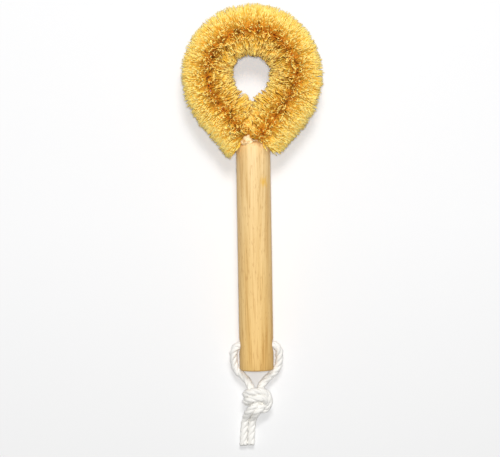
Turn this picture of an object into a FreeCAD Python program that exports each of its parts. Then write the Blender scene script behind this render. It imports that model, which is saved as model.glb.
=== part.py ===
import FreeCAD, Part
import math
import os

import Sketcher
from FreeCAD import Placement, Rotation, Vector

# A dish brush that lies on its back on a table. A ring of plant-fibre bundles is gripped in a
# core of two twisted wires, whose tails are glued into a turned wooden handle with a knotted
# cotton hanging cord.
# Lengths are millimetres and angles degrees. Each piece is made along the handle's own axis,
# with +Y from the handle's mouth to the head and +Z up, and one placement lays it on the table.

SIZES = {
    # Handle
    "handle_diameter": 20.0,
    "handle_length": 135.0,
    "mouth_chamfer": 3.6,
    "butt_chamfer": 1.8,
    "socket_diameter": 9.0,
    "socket_depth": 30.0,
    "socket_chamfer": 1.2,
    "cord_hole_diameter": 6.5,
    "cord_hole_chamfer": 0.6,
    "cord_hole_from_butt": 15.0,
    # Wire core
    "wire_diameter": 1.4,
    "pinch_gap": 0.6,
    "tail_offset": 2.0,
    "tail_end_gap": 1.0,
    "bend_radius": 4.0,
    "bend_depth": 2.0,
    "loop_radius": 26.2,
    "loop_centre": 39.4,
    "wire_sides": 6,
    "steps_per_bundle": 3,
    # Fibre bundles
    "bundle_count": 31,
    "bundle_gap": 0.3,
    "fibre_length": 15.8,
    "notch_depth": 3.6,
    "shoulder_depth": 6.0,
    "tooth_count": 14,
    "bore_sides": 8,
    "core_clearance": 0.1,
    "web_width": 0.9,
    "web_clearance": 0.1,
    "meeting_gap": 0.3,
    "fibre_clearance": 0.3,
    # Glue
    "glue_clearance": 0.05,
    "cap_diameter": 11.6,
    "cap_thickness": 0.8,
    "drop_diameter": 6.8,
    "drop_side": 3.9,
    "drop_height": 7.2,
    "drop_ahead": 0.2,
    # Cord
    "cord_diameter": 4.5,
    "cord_sides": 8,
    "bight_reach": 7.5,
    "knot_width": 17.8,
    "knot_thickness": 16.0,
    "knot_length": 16.6,
    "knot_from_hole": 24.6,
    "knot_side": 0.2,
}

# Routes of the cord over the table, measured from the middle of the cross hole. The left and
# right legs run from the hole to the knot, and the tails from the knot to their cut ends.
LEFT_LEG = [
    (-10.2, 0.0, 0.0),
    (-12.6, -1.3, 0.0),
    (-14.0, -3.7, -0.1),
    (-14.3, -7.0, -0.3),
    (-13.9, -11.2, -0.6),
    (-12.1, -15.8, -1.0),
    (-8.3, -20.0, -1.6),
    (-4.7, -23.3, -2.1),
    (-2.7, -26.0, -2.4),
]
RIGHT_LEG = [
    (10.2, 0.0, 0.0),
    (12.7, -1.1, 0.0),
    (14.5, -3.3, -0.1),
    (15.1, -6.8, -0.2),
    (14.6, -11.1, -0.5),
    (12.5, -15.6, -0.9),
    (8.6, -19.6, -1.5),
    (4.8, -22.9, -2.1),
    (2.5, -26.0, -2.4),
]
LEFT_TAIL = [
    (-5.6, -38.6, -6.2),
    (-6.6, -43.2, -7.7),
    (-7.1, -48.4, -8.2),
    (-7.2, -54.2, -8.3),
    (-6.8, -59.6, -8.3),
]
RIGHT_TAIL = [
    (-0.9, -38.4, -6.4),
    (-1.7, -43.0, -7.8),
    (-2.2, -48.0, -8.2),
    (-2.2, -53.8, -8.3),
    (-1.5, -59.0, -8.3),
]
# How the knot swells: shares of its length from the legs' end, and of its full width
KNOT_PROFILE = [
    (0.0, 0.60),
    (0.16, 0.92),
    (0.32, 0.84),
    (0.50, 1.0),
    (0.68, 0.86),
    (0.84, 0.94),
    (1.0, 0.56),
]
KNOT_CORNERS = 12
# Levels and sides of the glue drop's facets
DROP_LEVELS = 5
DROP_SIDES = 8
# Sides of the spaces that are kept clear round the handle
ROOM_SIDES = 20
# The share of a run that the arc at its end takes up
ARC_SHARE = 0.45
# The most that the socket's rim may take of the flat mouth round it
RIM_SHARE = 0.65
# Places looked at along an edge to tell whether it is the rim of the cross hole
RIM_POINTS = 9
# How near two places count as one
NEAR = 0.01


def make_sheet(doc):
    """The spreadsheet of driving dimensions, one named cell each."""
    table = doc.addObject("Spreadsheet::Sheet", "sizes")
    for row, (name, value) in enumerate(SIZES.items(), start=1):
        table.set(f"A{row}", name)
        table.set(f"B{row}", str(value))
        table.setAlias(f"B{row}", name)
    doc.recompute()
    return table


doc = FreeCAD.newDocument("dish_brush")
sheet = make_sheet(doc)


def size(name):
    """A driving dimension as a number."""
    return float(sheet.get(name))


def count(name):
    """A driving count as a whole number."""
    return int(round(size(name)))


HANDLE_RADIUS = size("handle_diameter") / 2
HANDLE_LENGTH = size("handle_length")
LOOP_RADIUS = size("loop_radius")
FIBRE_LENGTH = size("fibre_length")
CORD_RADIUS = size("cord_diameter") / 2
# Half the spread of the two wires, and the round space that they sweep
WIRE_OFFSET = (size("wire_diameter") + size("pinch_gap")) / 2
CORE_RADIUS = WIRE_OFFSET + size("wire_diameter") / 2


# Path of the wire core


def core_segments():
    """Lengths and left-hand curvatures from the right tail's end round the loop to the left's."""
    bend = size("bend_radius")
    across = size("tail_offset") + bend
    along = size("loop_centre") + size("bend_depth")
    spread = LOOP_RADIUS + bend
    leg = math.sqrt(across**2 + along**2 - spread**2)
    turn = math.atan2(spread, leg) - math.atan2(across, along)
    tail = size("socket_depth") - size("tail_end_gap") - size("bend_depth")
    half = [(tail, 0.0), (turn * bend, -1 / bend), (leg, 0.0)]
    loop = ((math.pi + 2 * turn) * LOOP_RADIUS, 1 / LOOP_RADIUS)
    return half + [loop] + half[::-1]


SEGMENTS = core_segments()
CORE_LENGTH = sum(length for length, bend in SEGMENTS)


def core_at(station):
    """Point, travel direction, outward direction and curvature of the core at a station."""
    x = size("tail_offset")
    y = size("tail_end_gap") - size("socket_depth")
    heading = math.pi / 2
    left = station
    for index, (length, curve) in enumerate(SEGMENTS):
        last = index == len(SEGMENTS) - 1
        step = left if last else min(left, length)
        if curve:
            x += (math.sin(heading + curve * step) - math.sin(heading)) / curve
            y += (math.cos(heading) - math.cos(heading + curve * step)) / curve
        else:
            x += step * math.cos(heading)
            y += step * math.sin(heading)
        heading += curve * step
        left -= step
        if left <= 0:
            break
    along = Vector(math.cos(heading), math.sin(heading), 0)
    outward = Vector(along.y, -along.x, 0)
    return Vector(x, y, 0), along, outward, curve


# Bundles stand evenly from the end of one bend to the start of the other, half a space in
BEARING_START = SEGMENTS[0][0] + SEGMENTS[1][0]
BEARING_LENGTH = CORE_LENGTH - 2 * BEARING_START
SPACING = BEARING_LENGTH / count("bundle_count")
FIRST_STATION = BEARING_START + SPACING / 2
BUNDLE_WIDTH = SPACING - size("bundle_gap")


def spot(station, out, up):
    """A point beside the core: outward in the loop's plane, and up."""
    point, along, outward, curve = core_at(station)
    return point + outward * out + Vector(0, 0, up)


def rest_placement():
    """Lays the brush on the table, on the first bundles and the lower edge of the butt."""
    neck = core_at(FIRST_STATION)[0].y
    reach = HANDLE_LENGTH - size("butt_chamfer") + neck
    tilt = math.atan2(FIBRE_LENGTH - HANDLE_RADIUS, reach)
    top = (size("loop_centre") + LOOP_RADIUS + FIBRE_LENGTH) * math.cos(tilt)
    butt_radius = HANDLE_RADIUS - size("butt_chamfer")
    butt = -HANDLE_LENGTH * math.cos(tilt) - butt_radius * math.sin(tilt)
    lift = FIBRE_LENGTH * math.cos(tilt) - neck * math.sin(tilt)
    shift = Vector(0, -(top + butt) / 2, lift)
    return Placement(shift, Rotation(Vector(1, 0, 0), math.degrees(tilt)))


REST = rest_placement()


def add_feature(name, shape, placement):
    """A piece whose shape comes from a formula."""
    piece = doc.addObject("Part::Feature", name)
    piece.Label = name
    piece.Shape = shape
    piece.Placement = placement
    return piece


def flat_face(*outlines):
    """A flat face inside the first outline, with a hole for each other one."""
    wires = [Part.makePolygon(points + points[:1]) for points in outlines]
    return Part.makeFace(wires, "Part::FaceMakerBullseye")


def solid_of(faces):
    """The solid inside a closed skin of flat faces."""
    solid = Part.makeSolid(Part.makeShell(faces))
    if solid.Volume < 0:
        solid.reverse()
    return solid


def largest_solid(shape):
    """The main solid that a cut leaves, without loose slivers."""
    return max(shape.Solids, key=lambda solid: solid.Volume)


def tube_through(sections):
    """A solid with flat ends and a skin of triangles through outlines of equally many corners."""
    faces = [flat_face(sections[0]), flat_face(sections[-1])]
    for near, far in zip(sections, sections[1:]):
        for corner in range(len(near)):
            faces.append(flat_face([near[corner - 1], near[corner], far[corner]]))
            faces.append(flat_face([near[corner - 1], far[corner], far[corner - 1]]))
    return solid_of(faces)


def polygon(centre, across, beside, sides):
    """Corners round a centre, with a flat side towards each given direction."""
    corners = []
    for corner in range(sides):
        turn = 2 * math.pi * (corner + 0.5) / sides
        corners.append(centre + across * math.cos(turn) + beside * math.sin(turn))
    return corners


# Handle


def plane_of(body, role):
    return next(plane for plane in body.Origin.OriginFeatures if plane.Role == role)


def circle_sketch(body, name, role, diameter, centre_along="0"):
    """A circle on one of the body's own planes, bound to the sheet."""
    sketch = body.newObject("Sketcher::SketchObject", name)
    sketch.AttachmentSupport = [(plane_of(body, role), "")]
    sketch.MapMode = "FlatFace"
    sketch.addGeometry(Part.Circle(Vector(-1, 0, 0), Vector(0, 0, 1), 1), False)
    width = sketch.addConstraint(Sketcher.Constraint("Diameter", 0, 2))
    sketch.setExpression(f"Constraints[{width}]", diameter)
    sketch.addConstraint(Sketcher.Constraint("PointOnObject", 0, 3, -1))
    place = sketch.addConstraint(Sketcher.Constraint("DistanceX", -1, 1, 0, 3, -1))
    sketch.setExpression(f"Constraints[{place}]", centre_along)
    return sketch


def edges_where(feature, test):
    """Names of a feature's edges that pass a test."""
    doc.recompute()
    return [f"Edge{n}" for n, edge in enumerate(feature.Shape.Edges, start=1) if test(edge)]


def at_end(edge, y):
    return abs(edge.BoundBox.YMin - y) < NEAR and abs(edge.BoundBox.YMax - y) < NEAR


def chamfer(body, name, base, edges, width):
    """A chamfer on edges of the last feature."""
    feature = body.newObject("PartDesign::Chamfer", name)
    feature.Base = (base, edges)
    feature.setExpression("Size", width)
    doc.recompute()
    return feature


def make_handle():
    """A turned dowel with a socket in its mouth and a cross hole near its butt."""
    body = doc.addObject("PartDesign::Body", "handle")
    body.Label = "handle"
    dowel = body.newObject("PartDesign::Pad", "dowel")
    outline = circle_sketch(body, "dowel_outline", "XZ_Plane", "sizes.handle_diameter")
    # The seam of the round side lies on top, clear of the cross hole
    outline.AttachmentOffset = Placement(Vector(0, 0, 0), Rotation(Vector(0, 0, 1), 90))
    dowel.Profile = outline
    dowel.setExpression("Length", "sizes.handle_length")
    mouth_edges = edges_where(dowel, lambda edge: at_end(edge, 0))
    mouth = chamfer(body, "mouth_edge", dowel, mouth_edges, "sizes.mouth_chamfer")
    butt_edges = edges_where(mouth, lambda edge: at_end(edge, -HANDLE_LENGTH))
    chamfer(body, "butt_edge", mouth, butt_edges, "sizes.butt_chamfer")

    socket = body.newObject("PartDesign::Pocket", "socket")
    socket.Profile = circle_sketch(body, "socket_outline", "XZ_Plane", "sizes.socket_diameter")
    socket.Reversed = True
    socket.setExpression("Length", "sizes.socket_depth")
    rim = size("socket_diameter") + NEAR
    rim_edges = edges_where(socket, lambda edge: at_end(edge, 0) and edge.BoundBox.XLength < rim)
    land = "((sizes.handle_diameter - sizes.socket_diameter) / 2 - sizes.mouth_chamfer)"
    rim_width = f"min(sizes.socket_chamfer; {RIM_SHARE} * {land})"
    chamfer(body, "socket_rim", socket, rim_edges, rim_width)

    cross = body.newObject("PartDesign::Pocket", "cord_hole")
    along = "sizes.cord_hole_from_butt - sizes.handle_length"
    cross.Profile = circle_sketch(body, "cord_hole_outline", "YZ_Plane", "sizes.cord_hole_diameter", along)
    cross.SideType = "Symmetric"
    cross.Type = "ThroughAll"
    hole_y = size("cord_hole_from_butt") - HANDLE_LENGTH
    hole_radius = size("cord_hole_diameter") / 2

    def on_hole_rim(edge):
        points = edge.discretize(RIM_POINTS)
        in_hole = all(abs(math.hypot(p.y - hole_y, p.z) - hole_radius) < NEAR for p in points)
        return in_hole and all(abs(math.hypot(p.x, p.z) - HANDLE_RADIUS) < NEAR for p in points)

    rim_edges = edges_where(cross, on_hole_rim)
    chamfer(body, "cord_hole_rim", cross, rim_edges, "sizes.cord_hole_chamfer")
    body.Placement = REST
    return body


# Wire core


def make_wire(name, side):
    """One strand of the twisted pair, a tube with flat sides that winds round the path."""
    step = SPACING / count("steps_per_bundle")
    before = int(FIRST_STATION / step)
    start = FIRST_STATION - before * step
    steps = int((CORE_LENGTH - start) / step)
    twist = math.pi / SPACING
    sides = count("wire_sides")
    radius = size("wire_diameter") / 2
    across = Vector(1, 0, 0)
    sections = []
    for index in range(steps + 1):
        station = start + index * step
        point, along, outward, curve = core_at(station)
        angle = math.pi / 2 + twist * (station - FIRST_STATION)
        offset = side * WIRE_OFFSET
        lean = Vector(0, 0, 1) * math.sin(angle) + outward * math.cos(angle)
        swing = Vector(0, 0, 1) * math.cos(angle) - outward * math.sin(angle)
        travel = along * (1 + offset * math.cos(angle) * curve) + swing * (offset * twist)
        travel.normalize()
        across = across - travel * across.dot(travel)
        across.normalize()
        beside = travel.cross(across)
        centre = point + lean * offset
        sections.append(polygon(centre, across * radius, beside * radius, sides))
    return add_feature(name, tube_through(sections), REST)


# Fibre bundles


def ring(station, radius, angles):
    return [spot(station, radius * math.cos(angle), radius * math.sin(angle)) for angle in angles]


def fan_of_fibres(station, phase):
    """A disc of spread fibres: pointed tips round its rim, flat sides, a bore for the wires."""
    teeth = count("tooth_count")
    step = 2 * math.pi / teeth
    tip_angles = [phase + step * tooth for tooth in range(teeth)]
    notch_angles = [angle + step / 2 for angle in tip_angles]
    tips = ring(station, FIBRE_LENGTH, tip_angles)
    notches = ring(station, FIBRE_LENGTH - size("notch_depth"), notch_angles)
    bore_sides = count("bore_sides")
    bore_radius = (CORE_RADIUS + size("core_clearance")) / math.cos(math.pi / bore_sides)
    bore_angles = [2 * math.pi * (corner + 0.5) / bore_sides for corner in range(bore_sides)]
    faces = []
    bores = []
    for side in (station - BUNDLE_WIDTH / 2, station + BUNDLE_WIDTH / 2):
        shoulder = ring(side, FIBRE_LENGTH - size("shoulder_depth"), notch_angles)
        bore = ring(side, bore_radius, bore_angles)
        bores.append(bore)
        faces.append(flat_face(shoulder, bore))
        for tooth in range(teeth):
            faces.append(flat_face([tips[tooth], notches[tooth], shoulder[tooth]]))
            faces.append(flat_face([tips[tooth], shoulder[tooth], shoulder[tooth - 1]]))
            faces.append(flat_face([tips[tooth], shoulder[tooth - 1], notches[tooth - 1]]))
    near, far = bores
    for corner in range(bore_sides):
        faces.append(flat_face([near[corner - 1], near[corner], far[corner]]))
        faces.append(flat_face([near[corner - 1], far[corner], far[corner - 1]]))
    return solid_of(faces)


def pinched_fibres(station):
    """The middles of the fibres, flat between the two wires, across the bundle's bore."""
    point, along, outward, curve = core_at(station)
    sagitta = BUNDLE_WIDTH**2 / (8 * LOOP_RADIUS)
    reach = CORE_RADIUS + 2 * size("core_clearance") + sagitta
    thickness = size("pinch_gap") - 2 * size("web_clearance")
    width = size("web_width")
    web = Part.makeBox(2 * reach, width, thickness, Vector(-reach, -width / 2, -thickness / 2))
    turn = math.degrees(math.atan2(outward.y, outward.x))
    web.Placement = Placement(point, Rotation(Vector(0, 0, 1), turn))
    return web


def faceted_room(profile):
    """A space round the handle's axis with flat facets, from its stations and radii."""
    sections = []
    for y, radius in profile:
        reach = radius / math.cos(math.pi / ROOM_SIDES)
        sections.append(polygon(Vector(0, y, 0), Vector(reach, 0, 0), Vector(0, 0, reach), ROOM_SIDES))
    return tube_through(sections)


def handle_room(clearance):
    """The space of the handle and a clearance round it."""
    radius = HANDLE_RADIUS + clearance
    slope = size("mouth_chamfer") + clearance * math.tan(math.pi / 8)
    butt = -HANDLE_LENGTH
    return faceted_room([(butt, radius), (clearance - slope, radius), (clearance, radius - slope)])


def drop_room(clearance):
    """The glue drop, a round lump with flat facets, and a clearance round it."""
    centre = Vector(-size("drop_side"), size("drop_ahead"), size("drop_height"))
    radius = size("drop_diameter") / 2 + clearance
    sections = []
    for level in range(DROP_LEVELS):
        tip = math.pi * (level + 0.5) / DROP_LEVELS
        middle = centre + Vector(0, 0, radius * math.cos(tip))
        width = radius * math.sin(tip)
        sections.append(polygon(middle, Vector(width, 0, 0), Vector(0, width, 0), DROP_SIDES))
    return tube_through(sections)


def cap_room(clearance):
    """The thin cap of glue on the handle's mouth and a clearance round it."""
    height = size("glue_clearance") + size("cap_thickness") + clearance
    radius = size("cap_diameter") / 2 + clearance
    return faceted_room([(0, radius), (height, radius)])


def other_half(side):
    """The half space across the middle, which the other leg's fibres fill."""
    reach = 2 * (LOOP_RADIUS + FIBRE_LENGTH)
    near = size("meeting_gap") / 2
    start = -reach if side > 0 else -near
    return Part.makeBox(reach + near, 2 * reach, 2 * reach, Vector(start, -reach, -reach))


def make_bundles():
    """A fan of fibres in each half turn of the wires, with the tips of neighbours set between."""
    handle_cut = handle_room(size("fibre_clearance"))
    drop_cut = drop_room(size("fibre_clearance"))
    cap_cut = cap_room(size("fibre_clearance"))
    half_step = math.pi / count("tooth_count")
    bundles = []
    for index in range(count("bundle_count")):
        station = FIRST_STATION + index * SPACING
        centre = core_at(station)[0]
        side = 1 if centre.x > 0 else -1
        shape = fan_of_fibres(station, math.pi / 2 + half_step * (index % 2))
        shape = shape.fuse(pinched_fibres(station))
        crosses = shape.BoundBox.XMin * shape.BoundBox.XMax < 0
        if crosses and centre.y < size("loop_centre"):
            shape = shape.cut(other_half(side))
        for room in (handle_cut, drop_cut, cap_cut):
            if shape.distToShape(room)[0] < size("fibre_clearance"):
                shape = shape.cut(room)
        name = f"bristle_bundle_{index + 1:02d}"
        bundles.append(add_feature(name, largest_solid(shape), REST))
    return bundles


# Glue


def axial_cylinder(name, radius, height, top, side="0"):
    """A cylinder beside the handle's axis, bound to the sheet, that hangs from its top."""
    slug = doc.addObject("Part::Cylinder", name)
    slug.setExpression("Radius", radius)
    slug.setExpression("Height", height)
    slug.Placement = Placement(Vector(0, 0, 0), Rotation(Vector(1, 0, 0), 90))
    slug.setExpression("Placement.Base.x", side)
    slug.setExpression("Placement.Base.y", top)
    return slug


def wire_mouth():
    """The opening right across the glue where the two pairs of wires bend apart out of the socket."""
    top = size("glue_clearance") + size("cap_thickness")
    reach = size("cap_diameter") / 2 + size("core_clearance")
    height = 2 * (CORE_RADIUS + size("core_clearance"))
    depth = top + size("bend_depth")
    corner = Vector(-reach, -size("bend_depth"), -height / 2)
    return Part.makeBox(2 * reach, depth, height, corner)


def make_glue():
    """The plug that holds the wire tails in the socket, with the drop that ran out over the edge."""
    top = "sizes.glue_clearance + sizes.cap_thickness"
    plug_radius = "sizes.socket_diameter / 2 - sizes.glue_clearance"
    plug_height = "sizes.socket_depth + sizes.cap_thickness"
    plug = axial_cylinder("glue_in_socket", plug_radius, plug_height, top)
    cap = axial_cylinder("glue_on_mouth", "sizes.cap_diameter / 2", "sizes.cap_thickness", top)
    drop = doc.addObject("Part::Cut", "glue_drop")
    drop.Base = add_feature("drop_lump", drop_room(0), Placement())
    drop.Tool = add_feature("drop_seat", handle_room(size("glue_clearance")), Placement())
    whole = doc.addObject("Part::MultiFuse", "glue_whole")
    whole.Shapes = [plug, cap, drop]
    bore_radius = "sizes.wire_diameter + sizes.pinch_gap / 2 + sizes.core_clearance"
    right = axial_cylinder("right_tail_bore", bore_radius, plug_height, top, "sizes.tail_offset")
    left = axial_cylinder("left_tail_bore", bore_radius, plug_height, top, "-sizes.tail_offset")
    wires = doc.addObject("Part::MultiFuse", "glue_wire_room")
    wires.Shapes = [right, left, add_feature("wire_mouth", wire_mouth(), Placement())]
    glue = doc.addObject("Part::Cut", "socket_glue")
    glue.Label = "socket_glue"
    glue.Base = whole
    glue.Tool = wires
    glue.Placement = REST
    return glue


# Cord


def rounded_route(points):
    """Straight runs joined by tangent arcs that are as large as the runs allow, and their radii."""
    edges = []
    radii = []
    start = points[0]
    for before, corner, after in zip(points, points[1:], points[2:]):
        back = (before - corner).normalize()
        ahead = (after - corner).normalize()
        half_turn = (math.pi - back.getAngle(ahead)) / 2
        trim = ARC_SHARE * min((before - corner).Length, (after - corner).Length)
        radius = trim / math.tan(half_turn)
        inward = (back + ahead).normalize()
        middle = corner + inward * (radius / math.cos(half_turn) - radius)
        arc_start = corner + back * trim
        arc_end = corner + ahead * trim
        edges.append(Part.makeLine(start, arc_start))
        edges.append(Part.Arc(arc_start, middle, arc_end).toShape())
        radii.append(radius)
        start = arc_end
    edges.append(Part.makeLine(start, points[-1]))
    return Part.Wire(edges), radii


def cord_tube(points):
    """A tube with flat sides along a rounded route."""
    route, radii = rounded_route(points)
    sides = count("cord_sides")
    travel = (points[1] - points[0]).normalize()
    across = Vector(0, 0, 1)
    across = (across - travel * across.dot(travel)).normalize()
    beside = travel.cross(across)
    corners = polygon(points[0], across * CORD_RADIUS, beside * CORD_RADIUS, sides)
    tube = route.makePipeShell([Part.makePolygon(corners + corners[:1])], True, False)
    section = sides / 2 * CORD_RADIUS**2 * math.sin(2 * math.pi / sides)
    print(f"radii {[round(radius, 1) for radius in radii]}, length {route.Length:.1f},")
    print(f"volume over section times length {tube.Volume / (section * route.Length):.4f}")
    return tube


def cord_spot(x, y, z):
    """A place on the table, measured from the middle of the cross hole."""
    hole = REST.multVec(Vector(0, size("cord_hole_from_butt") - HANDLE_LENGTH, 0))
    return hole + Vector(x, y, z)


def knot_lump():
    """The knot as a faceted lump that swells at each wrap of the cord."""
    middle = cord_spot(size("knot_side"), 0, 0)
    middle.z = size("knot_thickness") / 2
    top = middle.y - size("knot_from_hole")
    sections = []
    for share, swell in KNOT_PROFILE:
        middle.y = top - share * size("knot_length")
        across = Vector(swell * size("knot_width") / 2, 0, 0)
        beside = Vector(0, 0, swell * size("knot_thickness") / 2)
        sections.append(polygon(middle, across, beside, KNOT_CORNERS))
    return tube_through(sections)


def make_cord():
    """The stretch in the cross hole, two legs, the knot and two tails."""
    reach = size("bight_reach")
    start = {-1: cord_spot(-reach, 0, 0), 1: cord_spot(reach, 0, 0)}
    tubes = {
        "cord_in_hole": [start[-1], start[1]],
        "cord_left_leg": [start[-1]] + [cord_spot(*point) for point in LEFT_LEG],
        "cord_right_leg": [start[1]] + [cord_spot(*point) for point in RIGHT_LEG],
        "cord_left_tail": [cord_spot(*point) for point in LEFT_TAIL],
        "cord_right_tail": [cord_spot(*point) for point in RIGHT_TAIL],
    }
    knot = knot_lump()
    pieces = []
    for name, points in tubes.items():
        tube = cord_tube(points)
        knot = knot.cut(tube)
        pieces.append(add_feature(name, tube, Placement()))
    pieces.append(add_feature("cord_knot", largest_solid(knot), Placement()))
    return pieces


pieces = [make_handle()]
pieces += [make_wire("core_wire_a", 1), make_wire("core_wire_b", -1)]
pieces += [make_glue()]
pieces += make_bundles()
pieces += make_cord()
doc.recompute()

for item in doc.Objects:
    if "Invalid" in item.State or "Error" in item.State:
        raise RuntimeError(f"{item.Name} failed to build: {item.State}")
for piece in pieces:
    if piece.Shape.isNull() or not piece.Shape.isValid() or len(piece.Shape.Solids) != 1:
        raise RuntimeError(f"{piece.Label} isn't one sound solid")

os.makedirs("parts", exist_ok=True)
for piece in pieces:
    piece.Shape.exportStep(f"parts/{piece.Label}.step")
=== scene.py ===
import math

import bmesh
import bpy
import numpy as np
from mathutils import Matrix, Vector, noise


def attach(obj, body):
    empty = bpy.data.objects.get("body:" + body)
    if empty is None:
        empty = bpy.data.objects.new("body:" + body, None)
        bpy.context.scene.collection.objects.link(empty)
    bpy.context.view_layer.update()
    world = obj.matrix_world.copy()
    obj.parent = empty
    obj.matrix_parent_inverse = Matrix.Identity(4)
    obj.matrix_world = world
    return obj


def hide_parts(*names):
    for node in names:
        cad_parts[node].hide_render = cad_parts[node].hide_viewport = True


# A dish brush that lies on its back: fibres, turned handle, glue, laid cotton cord, studio.
# Lengths are millimetres in the brush's own frame, with +Y from the handle's mouth to the head,
# until a mesh is written. Materials and lamps are in metres on the table.

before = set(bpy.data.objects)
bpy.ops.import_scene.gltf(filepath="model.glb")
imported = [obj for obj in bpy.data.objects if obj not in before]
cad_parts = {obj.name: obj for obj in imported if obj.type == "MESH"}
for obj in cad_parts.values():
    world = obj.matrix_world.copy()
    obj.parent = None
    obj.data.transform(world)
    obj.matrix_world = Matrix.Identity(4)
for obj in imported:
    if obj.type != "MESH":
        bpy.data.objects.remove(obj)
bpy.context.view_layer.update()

MM = 0.001
SEED = 11

# Handle
HANDLE_RADIUS = 10.0
HANDLE_LENGTH = 135.0
HANDLE_SIDES = 72
HANDLE_RUNS = 24
MOUTH_EDGE = 3.6
BUTT_EDGE = 1.8
BUTT_ROUND = 1.0
BUTT_RING = 4.0
EDGE_STEPS = 7
EDGE_BULGE = 0.7
SHARP_DEGREES = 40
SOCKET_RADIUS = 4.5
SOCKET_DEPTH = 30.0
SOCKET_EDGE = 1.2
CORD_HOLE_RADIUS = 3.25
CORD_HOLE_EDGE = 0.7
CORD_HOLE_Y = -120.0
DRILL_SIDES = 40
DRILL_REACH = 4.0
DRILL_FLARE = 3.0

# Wire core
TAIL_OFFSET = 2.0
TAIL_END_GAP = 1.0
BEND_RADIUS = 4.0
BEND_DEPTH = 2.0
LOOP_RADIUS = 26.2
LOOP_CENTRE = 39.4

# Fibres: how many, and the rings and sides of each strand
BUNDLES = 31
FIBRES_PER_BUNDLE = 520
TRIES_PER_FIBRE = 5
FIBRE_RINGS = 7
FIBRE_SIDES = 3
RING_SHARES = np.linspace(0, 1, FIBRE_RINGS)

# Directions round the core: a fibre is outer or inner past this cosine
SIDEWAYS = 0.4
ANGLE_SPREAD = 0.85
CREASE_SIZE = 0.15
CREASE_RATES = (0.45, 0.17)
CREASE_PHASE = 0.6
PARTING = 0.05
PARTING_SIZE = 0.06
PARTING_RATES = (0.8, 0.37)
PARTING_PHASE = 1.0
PARTING_REACH = 0.4
INNER_SHARE = 0.5

# Lengths, and where they differ
FIBRE_LENGTH = 15.8
LENGTH_RANGE = (0.89, 1.04)
ROOT = 1.0
SHORT_SHARE = 0.22
SHORT_RANGE = (0.35, 0.9)
RIGHT_INNER_LENGTH = 1.05
LEG_MIDDLE = 19.0
LEG_SPREAD = 13.0
LEFT_LEG_EXTRA = 0.06
RIGHT_LEG_EXTRA = 0.12
EYE_FOOT_Y = 24.0
EYE_FOOT_SPREAD = 5.0
EYE_FOOT_HALF_WIDTH = 6.0
EYE_FOOT_EXTRA = 0.12

# How they bend
OUTER_UNRULY = 0.7
LEAN_SPREAD = 0.2
TIP_SPREAD = 1.6
CRIMP_RANGE = (0.1, 0.4)
CRIMP_PITCH_RANGE = (5.0, 9.0)
CRIMP_GROWTH = 3
LEFT_DROOP = 1.4
DROOP_REACH = 7.0
DROOP_POWER = 1.5
FIBRES_PER_WISP = 6
WISP_ANGLE = 0.22
OUTER_PULL = 0.55
PULL_RANGE = (0.6, 1.0)

# What they keep clear of
RIGHT_OVERLAP = (-9.0, -1.0)
LEFT_OVERLAP = (-3.0, 1.0)
CROSSING_DEPTH = 14.0
CROSSING_LIFT = 0.25
TABLE_GAP = 0.45
MOUTH_GAP = 0.4
WOOD_GAP = 0.45
LEAST_WOOD_GAP = 0.35
PUSH_DEPTH = 4.0
DROP_GAP = 0.4
DROP_OVERHANG = 0.3

# Strands and their tones
THICKNESS_RANGE = (0.38, 0.64)
OUTER_THICKNESS = 0.85
TAPER = 0.5
ROLL_SPREAD = 0.25
STEEP = 0.9
COLUMN_MARGIN = 0.2
ROW_MARGIN = 0.1
TIP_ROW = 0.02
EYE_SIDE = -0.1
# Painted shade: tone scales for eye-side and short fibres; outward fibres start above the darkest tones
INNER_PAINTED_SHADE = 0.5
SHORT_PAINTED_SHADE = 0.6
OUTER_TONE = 0.08

# Glue
DROP_CENTRE = (-3.9, 0.2, 7.2)
DROP_RADIUS = 3.4

# Cord
CORD_DIAMETER = 4.6
STRANDS = 3
STRAND_SIDES = 10
STRAND_SHARE = 0.6
STRAND_RADIUS = CORD_DIAMETER / 2 * STRAND_SHARE
LAY_RADIUS = CORD_DIAMETER / 2 - STRAND_RADIUS
CORD_LAY = 13.0
YARN_PITCH = 9.0
YARNS = 6
OPEN_LENGTH = 4.0
OPEN_FLARE = 0.2
ROUTE_ORDER = 3
ROUTE_STEPS = 12
PATCH_RINGS = 24
PATCH_MARGIN = 0.04
CUT_END_PLACE = (0.999, 0.999)

# Path of the wire core, in closed form


def core_segments():
    """Lengths and curvatures of the core's tails, bends, legs and loop."""
    across = TAIL_OFFSET + BEND_RADIUS
    along = LOOP_CENTRE + BEND_DEPTH
    spread = LOOP_RADIUS + BEND_RADIUS
    leg = math.sqrt(across**2 + along**2 - spread**2)
    turn = math.atan2(spread, leg) - math.atan2(across, along)
    tail = SOCKET_DEPTH - TAIL_END_GAP - BEND_DEPTH
    half = [(tail, 0.0), (turn * BEND_RADIUS, -1 / BEND_RADIUS), (leg, 0.0)]
    return half + [((math.pi + 2 * turn) * LOOP_RADIUS, 1 / LOOP_RADIUS)] + half[::-1]


SEGMENTS = core_segments()
CORE_LENGTH = sum(length for length, bend in SEGMENTS)
BEARING_START = SEGMENTS[0][0] + SEGMENTS[1][0]
SPACING = (CORE_LENGTH - 2 * BEARING_START) / BUNDLES
FIRST_STATION = BEARING_START + SPACING / 2


def core_at(station):
    """Point and travel direction of the core at a station, in the loop's plane."""
    x, y, heading = TAIL_OFFSET, TAIL_END_GAP - SOCKET_DEPTH, math.pi / 2
    left = station
    for length, curve in SEGMENTS:
        step = min(left, length)
        if curve:
            x += (math.sin(heading + curve * step) - math.sin(heading)) / curve
            y += (math.cos(heading) - math.cos(heading + curve * step)) / curve
        else:
            x += step * math.cos(heading)
            y += step * math.sin(heading)
        heading += curve * step
        left -= step
        if left <= 0:
            break
    return x, y, math.cos(heading), math.sin(heading)


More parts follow.
